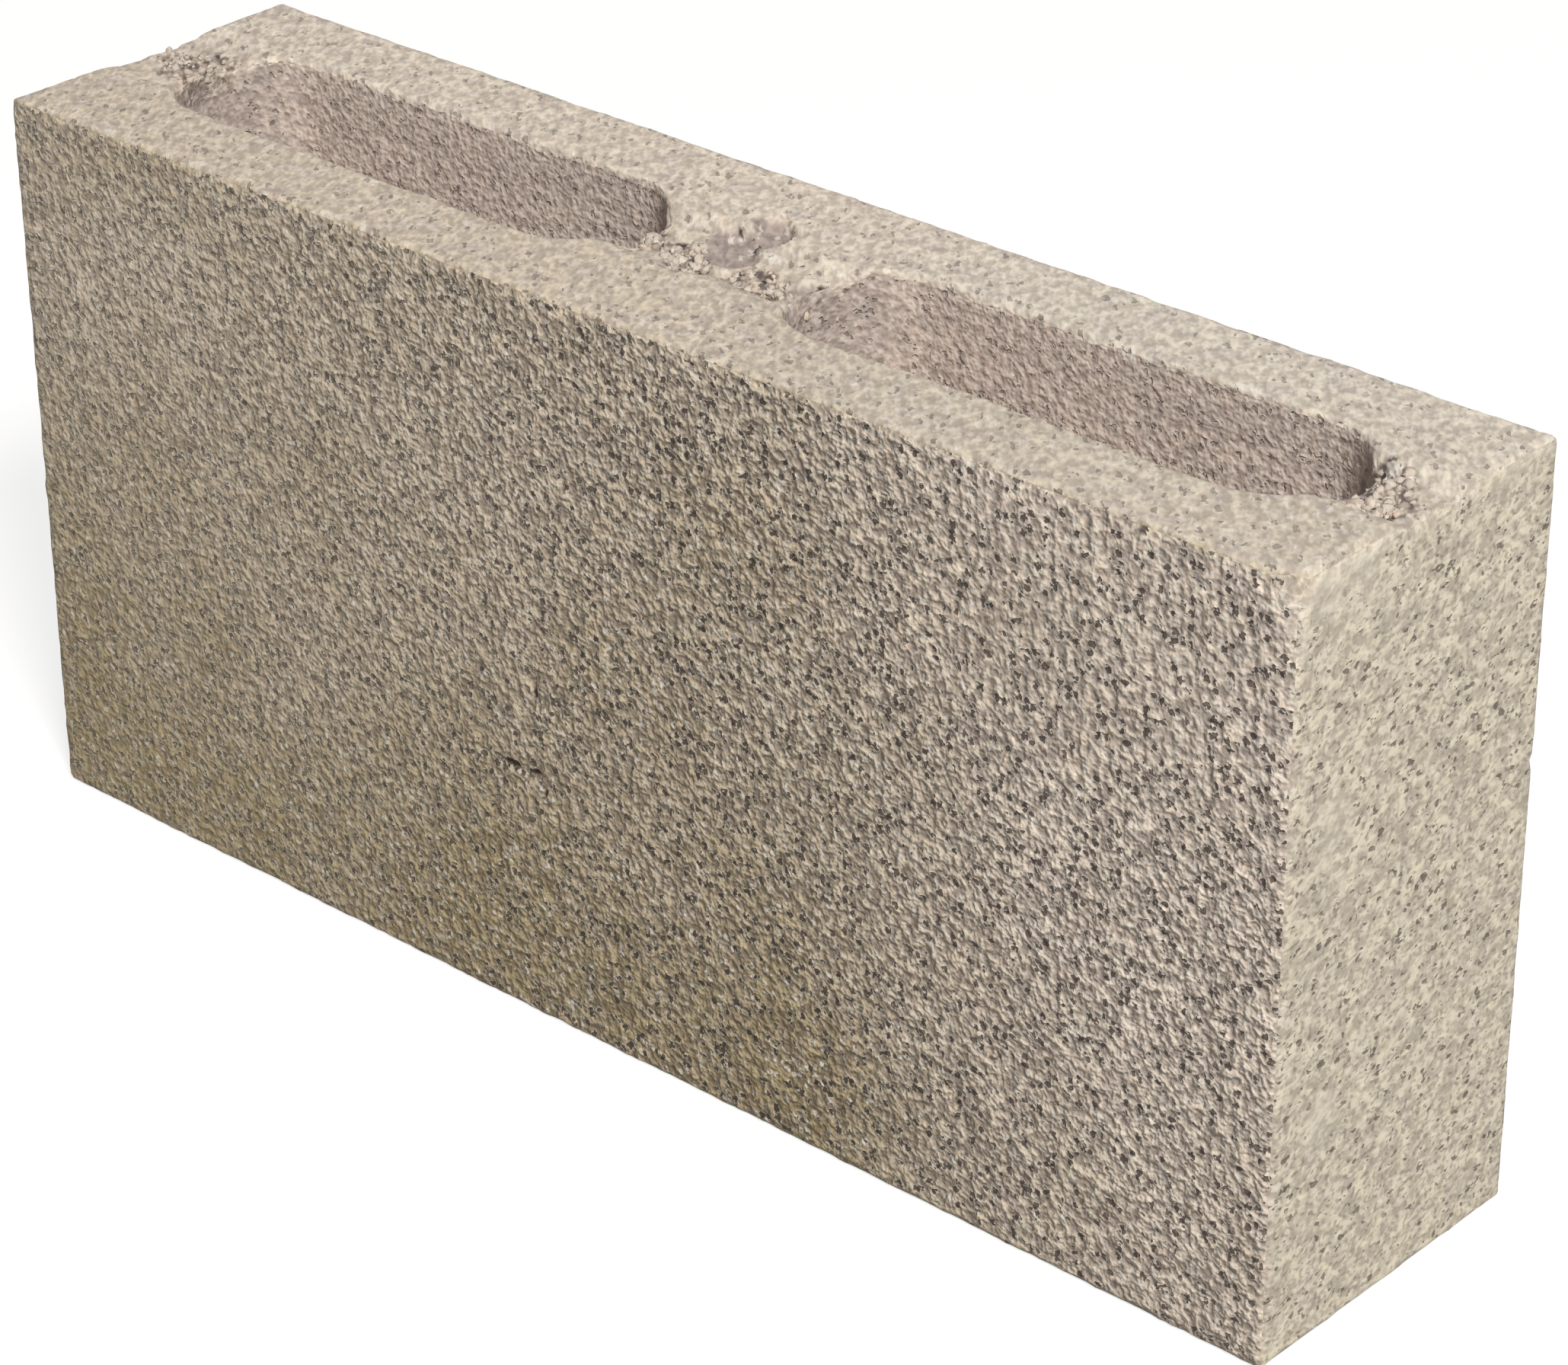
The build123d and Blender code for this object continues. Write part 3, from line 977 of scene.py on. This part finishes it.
concreteLook = {
    "faceDry": (0.872, 0.772, 0.668),
    "faceDamp": (0.462, 0.380, 0.232),
    "endColour": (0.745, 0.684, 0.545),
    "pasteColour": (0.745, 0.684, 0.560),
    "bedPale": (0.770, 0.684, 0.572),
    "bedColour": (0.680, 0.590, 0.476),
    "bedRight": (0.955, 0.985, 1.000),  # by which a bed's right half is multiplied
    "bedChange": (0.0, 0.08),
    "cellColour": (0.825, 0.712, 0.632),
    # painted shade for a cell wall's round ends
    "cellEndShade": (0.530, 0.455, 0.410),
    # broken webs' ground, darkened as painted shade between the loose stones
    "crumbShadeColour": (0.560, 0.480, 0.405),
    "smoothColour": (0.405, 0.338, 0.305),
    # pale paste of the flakes and grains, also used for the painted highlights
    "flakeAndHighlightColour": (0.83, 0.77, 0.68),
    # near black, for the painted shade in gaps, pits, hollows and openings
    "paintedShadeColour": (0.07, 0.05, 0.05),
    "mauveColour": (0.52, 0.455, 0.435),
    "speckDark": (0.60, 0.55, 0.56),
    "speckPale": (1.34, 1.32, 1.30),

    # for a long face, an end, a bed, a cell's wall and a broken web
    "stoneHeight": (0.90, 0.12, 0.34, 0.34, 0.60),  # in mm, from a gap to a stone's top
    "pitShares": (1.0, 0.35, 0.25, 0.6, 0.6),  # of the pits' depth
    "widest": (0.56, 0.60, 0.50, 0.52, 0.55),  # half width of the widest pit, in spacings
    "pitCount": (0.46, 0.38, 0.30, 0.30, 0.5),  # share of spots that are pits
    "tints": (0.45, 0.18, 0.22, 0.35, 0.5),
    "mauves": (0.16, 0.20, 0.30, 0.2, 0.3),
    "mottling": (0.56, 0.54, 0.42, 0.36, 0.8),
    # painted highlight on the pits' rims, and pale grains partly painted highlights
    "rimHighlights": (0.55, 0.25, 0.25, 0.25, 0.4),
    "paleGrainsAndHighlights": (0.90, 0.35, 0.60, 0.45, 0.5),
    "gapShade": (0.30, 0.10, 0.12, 0.20, 0.80),
    "pitShade": (0.88, 0.72, 0.50, 0.45, 0.90),
    "pepper": (0.0, 0.40, 0.14, 0.15, 0.3),

    "stoneSize": 0.0020,
    "sandSize": 0.0007,
    "roundShare": 0.25,        # height of the single grains, as a share of the stones'
    "sandShare": 0.14,         # height of the fine sand, as a share of the stones'
    "struckTurn": 42.0,        # in degrees
    "struckLength": 2.0,       # how far a bed's grain is drawn out
    "endLength": 1.35,         # and an end's, across the block
    "spotSize": 0.0021,        # spacing of single pits and pale grains
    "spotRagged": 0.95,
    "paleShare": 0.32,
    "pitDepth": 0.70,          # in mm
    "scoreSize": 0.0021,       # upright scores where the mould dragged,
    "scoreLong": 0.22,         # width over length
    "scoreShare": 0.38,
    "scoreEdges": (0.30, 0.70),
    "dirt": 0.40,              # how far dirt fills the pores on a long face's left,
    "dirtEnds": (-0.18, 0.05),  # from here to where it ends
    "smoothFlat": 0.4,         # how much flatter smooth paste in the pocket is,
    "smoothPitless": 0.6,      # and by how much it has fewer pits
    "dampSize": 0.030,         # patches in the damp and in the cells' painted end shade, and how strong they are
    "dampPatches": 0.35,
    "mottleSize": 0.0020,
    "mottleRough": 0.6,
    "mottleEdges": (0.32, 0.68),
    "pasteEven": 0.4,          # how much less mottled paste is
    "mauveSize": 0.0065,
    "mauveEdges": (0.48, 0.66),
    "pepperSize": 0.0011,
    "pepperEdges": (0.28, 0.44),
    "markRagged": 0.7,
    "flakeEdges": (0.40, 0.62),
    "flakeStrength": 0.85,
    "openingEdges": (0.35, 0.75),
    "hollowShade": 0.14,
    "roughness": 0.93,
}


def makeConcrete():
    look = concreteLook
    material, tree = newMaterial("blockConcrete")
    place = addNode(tree, "TexCoord", {}).outputs["Object"]
    zone = {name: addNode(tree, "Attribute", {}, attribute_name=name).outputs["Fac"]
            for name in zoneNames}

    def byZone(name):
        value, *others = look[name]
        for zoneName, other in zip(("endFace", "bedFace", "cellWall", "crumb"), others):
            value = blend(tree, zone[zoneName], value, other)
        return value

    # on a bed the grain is drawn out, the way the striking-off leaves it, and on an end a little
    turn = (0, 0, math.radians(look["struckTurn"]))
    struck = {0: place, "Rotation": turn, "Scale": (1, look["struckLength"], 1)}
    struck = addNode(tree, "Mapping", struck, vector_type="TEXTURE").outputs[0]
    drawn = {0: place, "Scale": (1, look["endLength"], 1)}
    drawn = addNode(tree, "Mapping", drawn, vector_type="TEXTURE").outputs[0]
    ground = mixPlaces(tree, calc(tree, "GREATER_THAN", zone["bedFace"], 0.5), place, struck)
    ground = mixPlaces(tree, calc(tree, "GREATER_THAN", zone["endFace"], 0.5), ground, drawn)

    # towards the left of a long face, dirt fills the pores
    elsewhere = calc(tree, "ADD", zone["bedFace"], zone["cellWall"])
    elsewhere = calc(tree, "ADD", elsewhere, zone["endFace"])
    longFace = calc(tree, "SUBTRACT", 1.0, elsewhere, clamp=True)
    alongBlock = addNode(tree, "SeparateXYZ", {0: place}).outputs["X"]
    dirty = soften(tree, alongBlock, *look["dirtEnds"], look["dirt"], 0.0)
    filled = without(tree, times(tree, dirty, longFace))

    stone = useGroup(tree, castGrain, {
        "Position": ground, "Stone Size": look["stoneSize"], "Sand Size": look["sandSize"]})
    spots = useGroup(tree, looseSpots, {
        "Position": ground, "Size": look["spotSize"], "Ragged": look["spotRagged"],
        "Widest": byZone("widest"), "Pit Share": byZone("pitCount"),
        "Pale Share": look["paleShare"]})
    mottle = noise(tree, ground, 1 / look["mottleSize"], 1.0, look["mottleRough"])
    rag = times(tree, calc(tree, "SUBTRACT", mottle, 0.5), look["markRagged"])

    # height in millimetres
    grains = calc(tree, "ADD", stone["Grains"], times(tree, stone["Sand"], look["sandShare"]))
    grains = calc(tree, "ADD", grains, times(tree, spots["Rounds"], look["roundShare"]))
    upright = addNode(tree, "Mapping", {0: place, "Scale": (1, 1, look["scoreLong"])}).outputs[0]
    scores = soften(tree, noise(tree, upright, 1 / look["scoreSize"]), *look["scoreEdges"])
    grains = blend(tree, times(tree, zone["dragged"], look["scoreShare"]), grains, scores)
    stoneHeight = times(tree, byZone("stoneHeight"), filled)
    stoneHeight = times(tree, stoneHeight, without(tree, zone["smooth"], look["smoothFlat"]))
    pitless = largest(tree, zone["paste"], times(tree, zone["smooth"], look["smoothPitless"]))
    pitted = without(tree, pitless)
    holes = times(tree, spots["Pits"], pitted)
    pitDepth = times(tree, byZone("pitShares"), look["pitDepth"])
    height = calc(tree, "SUBTRACT", times(tree, grains, stoneHeight), times(tree, holes, pitDepth))
    bump = addNode(tree, "Bump", {"Height": height, "Strength": 1.0, "Distance": 0.001})

    # the ground colour of each kind of surface, damp and dry, with painted shade at the cells'
    # round ends
    patchy = calc(tree, "SUBTRACT", noise(tree, place, 1 / look["dampSize"], 1.0), 0.5)
    dampAndEndShade = calc(tree, "ADD", zone["dampAndEndShade"], times(tree, patchy, look["dampPatches"]), clamp=True)
    colour = mixColours(tree, dampAndEndShade, look["faceDry"], look["faceDamp"])
    endColour = mixColours(tree, zone["paste"], look["endColour"], look["pasteColour"])
    colour = mixColours(tree, zone["endFace"], colour, endColour)
    bedColour = mixColours(tree, dampAndEndShade, look["bedPale"], look["bedColour"])
    onRight = soften(tree, alongBlock, *look["bedChange"])
    bedColour = mixColours(tree, onRight, bedColour, look["bedRight"], "MULTIPLY")
    colour = mixColours(tree, zone["bedFace"], colour, bedColour)
    # a cell's wall is darker at its round ends: painted shade
    cellColour = mixColours(tree, dampAndEndShade, look["cellColour"], look["cellEndShade"])
    colour = mixColours(tree, zone["cellWall"], colour, cellColour)
    # painted shade between the loose stones on the broken webs
    colour = mixColours(tree, zone["crumb"], colour, look["crumbShadeColour"])
    colour = mixColours(tree, zone["smooth"], colour, look["smoothColour"])

    # stones' tints, mauve patches, mottling, painted highlights on the pits' rims, pale grains
    # that are partly painted highlights, and flakes
    tint = useGroup(tree, stoneTints, {"Tone": spots["Tone"], "Strength": byZone("tints")})["Tint"]
    colour = mixColours(tree, 1.0, colour, tint, "MULTIPLY")
    mauve = soften(tree, noise(tree, place, 1 / look["mauveSize"]), *look["mauveEdges"])
    mauve = times(tree, mauve, times(tree, byZone("mauves"), pitted))
    colour = mixColours(tree, mauve, colour, look["mauveColour"])
    speckle = soften(tree, mottle, *look["mottleEdges"])
    speckle = mixColours(tree, speckle, look["speckDark"], look["speckPale"])
    mottling = times(tree, byZone("mottling"), filled)
    mottling = times(tree, mottling, without(tree, zone["paste"], look["pasteEven"]))
    colour = mixColours(tree, mottling, colour, mixColours(tree, 1.0, colour, speckle, "MULTIPLY"))
    # painted highlight on the rim of each pit
    rimHighlights = times(tree, spots["Rim Highlights"], times(tree, byZone("rimHighlights"), pitted))
    colour = mixColours(tree, rimHighlights, colour, look["flakeAndHighlightColour"])
    pale = times(tree, spots["Pale"], times(tree, byZone("paleGrainsAndHighlights"), filled))
    flake = soften(tree, calc(tree, "ADD", zone["flake"], rag), *look["flakeEdges"])
    flake = times(tree, flake, look["flakeStrength"])
    colour = mixColours(tree, largest(tree, pale, flake), colour, look["flakeAndHighlightColour"])

    # painted shade in the gaps between stones, in pits, hollows and openings, and dark pepper
    # specks
    gaps = times(tree, without(tree, stone["Grains"]), byZone("gapShade"))
    shade = largest(tree, gaps, times(tree, holes, byZone("pitShade")))
    shade = largest(tree, shade, times(tree, zone["hollow"], look["hollowShade"]))
    pepper = noise(tree, ground, 1 / look["pepperSize"])
    pepper = soften(tree, pepper, *look["pepperEdges"], 1.0, 0.0)
    shade = largest(tree, shade, times(tree, pepper, times(tree, byZone("pepper"), pitted)))
    # openings painted dark: painted shade in the recesses
    opening = soften(tree, calc(tree, "ADD", zone["opening"], rag), *look["openingEdges"])
    shade = largest(tree, times(tree, shade, filled), opening)
    dark = mixColours(tree, 1.0, colour, look["paintedShadeColour"], "MULTIPLY")
    finishMaterial(tree, mixColours(tree, shade, colour, dark), look["roughness"], bump)
    return material


def finishMaterial(tree, colour, roughness, bump):
    feeds = {"Base Color": colour, "Roughness": roughness, "Normal": bump.outputs[0]}
    surface = addNode(tree, "BsdfPrincipled", feeds)
    addNode(tree, "OutputMaterial", {0: surface.outputs[0]})


def makeCrumbStone():
    material, tree = newMaterial("crumbStone")
    place = addNode(tree, "TexCoord", {}).outputs["Object"]
    own = addNode(tree, "Attribute", {}, attribute_name="stoneTone").outputs["Fac"]
    stone = useGroup(tree, castGrain, {
        "Position": place, "Stone Size": crumbs["stoneSize"], "Sand Size": crumbs["sandSize"]})
    tint = useGroup(tree, stoneTints, {"Tone": own, "Strength": crumbs["tint"]})["Tint"]
    colour = mixColours(tree, 1.0, crumbs["colour"], tint, "MULTIPLY")
    height = times(tree, calc(tree, "ADD", stone["Grains"], stone["Sand"]), crumbs["grainHeight"])
    bump = addNode(tree, "Bump", {"Height": height, "Strength": 1.0, "Distance": 0.001})
    finishMaterial(tree, colour, crumbs["roughness"], bump)
    return material


skin.data.materials.append(makeConcrete())
webCrumbs.data.materials.append(makeCrumbStone())
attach(skin, "root")
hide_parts("concrete_block")
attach(webCrumbs, "root")
print("materials ready")


# Studio

studio = {
    "floorHalf": 4.0,
    "floorDown": 0.0001,
    "floorColour": (0.30, 0.297, 0.29),
    "floorLift": 0.79,         # own light, which only the camera and reflections see
    "skyStrength": 0.23,
    "skyColour": (1.0, 0.99, 0.975),
    "keyPlace": (2.68, -1.76, 3.34),
    "keyAim": (0, 0, 0.1),
    "keySize": 0.72,
    "keyPower": 196.0,
    "keyColour": (1.0, 0.985, 0.96),
}

camera = {
    "place": (0.6844, -0.7337, 0.6196),
    "azimuth": 42.26,
    "elevation": 28.27,
    "roll": -0.325,
    "lens": 110.82,
    "sensor": 36,
    "clip": (0.05, 30),
}


def seenDirectly(tree):
    # 1 for rays from the camera, or by way of a reflection or glass, and 0 for the rest.
    path = addNode(tree, "LightPath", {}).outputs
    seen = largest(tree, path["Is Glossy Ray"], path["Is Transmission Ray"])
    return largest(tree, path["Is Camera Ray"], seen)


def buildFloor():
    half = studio["floorHalf"]
    mesh = bpy.data.meshes.new("paleFloor")
    corners = [(-half, -half, 0), (half, -half, 0), (half, half, 0), (-half, half, 0)]
    mesh.from_pydata(corners, [], [(0, 1, 2, 3)])
    mesh.update()
    floor = bpy.data.objects.new("paleFloor", mesh)
    bpy.context.collection.objects.link(floor)
    floor.location.z = -studio["floorDown"]
    material, tree = newMaterial("paleFloor")
    matt = addNode(tree, "BsdfDiffuse", {"Color": (*studio["floorColour"], 1)})
    lift = times(tree, seenDirectly(tree), studio["floorLift"])
    lift = addNode(tree, "Emission", {"Strength": lift})
    both = addNode(tree, "AddShader", {0: matt.outputs[0], 1: lift.outputs[0]})
    addNode(tree, "OutputMaterial", {0: both.outputs[0]})
    mesh.materials.append(material)


def buildSky():
    world = bpy.data.worlds.new("studioSky")
    world.use_nodes = True
    bpy.context.scene.world = world
    tree = world.node_tree
    tree.nodes.clear()
    light = {"Color": (*studio["skyColour"], 1), "Strength": studio["skyStrength"]}
    light = addNode(tree, "Background", light).outputs[0]
    white = addNode(tree, "Background", {"Color": (1, 1, 1, 1), "Strength": 1.0}).outputs[0]
    mix = addNode(tree, "MixShader", {0: seenDirectly(tree), 1: light, 2: white})
    addNode(tree, "OutputWorld", {0: mix.outputs[0]})


def buildKey():
    lamp = bpy.data.lights.new("keySoftbox", "AREA")
    lamp.shape = "SQUARE"
    lamp.size = studio["keySize"]
    lamp.energy = studio["keyPower"]
    lamp.color = studio["keyColour"]
    key = bpy.data.objects.new("keySoftbox", lamp)
    key.location = studio["keyPlace"]
    aim = Vector(studio["keyAim"]) - Vector(studio["keyPlace"])
    key.rotation_euler = aim.to_track_quat("-Z", "Y").to_euler()
    bpy.context.collection.objects.link(key)


def buildCamera():
    # Looks along the azimuth and elevation from its place, then rolls about its own axis.
    data = bpy.data.cameras.new("photoCamera")
    data.sensor_width = camera["sensor"]
    data.lens = camera["lens"]
    data.clip_start, data.clip_end = camera["clip"]
    view = bpy.data.objects.new("photoCamera", data)
    azimuth, elevation, roll = (math.radians(camera[n]) for n in ("azimuth", "elevation", "roll"))
    turn = Matrix.Rotation(azimuth, 4, "Z") @ Matrix.Rotation(math.pi / 2 - elevation, 4, "X")
    turn = turn @ Matrix.Rotation(roll, 4, "Z")
    view.matrix_world = Matrix.Translation(camera["place"]) @ turn
    bpy.context.collection.objects.link(view)
    bpy.context.scene.camera = view


buildFloor()
buildSky()
buildKey()
buildCamera()
bpy.context.scene.view_settings.view_transform = "Standard"
print("studio ready")
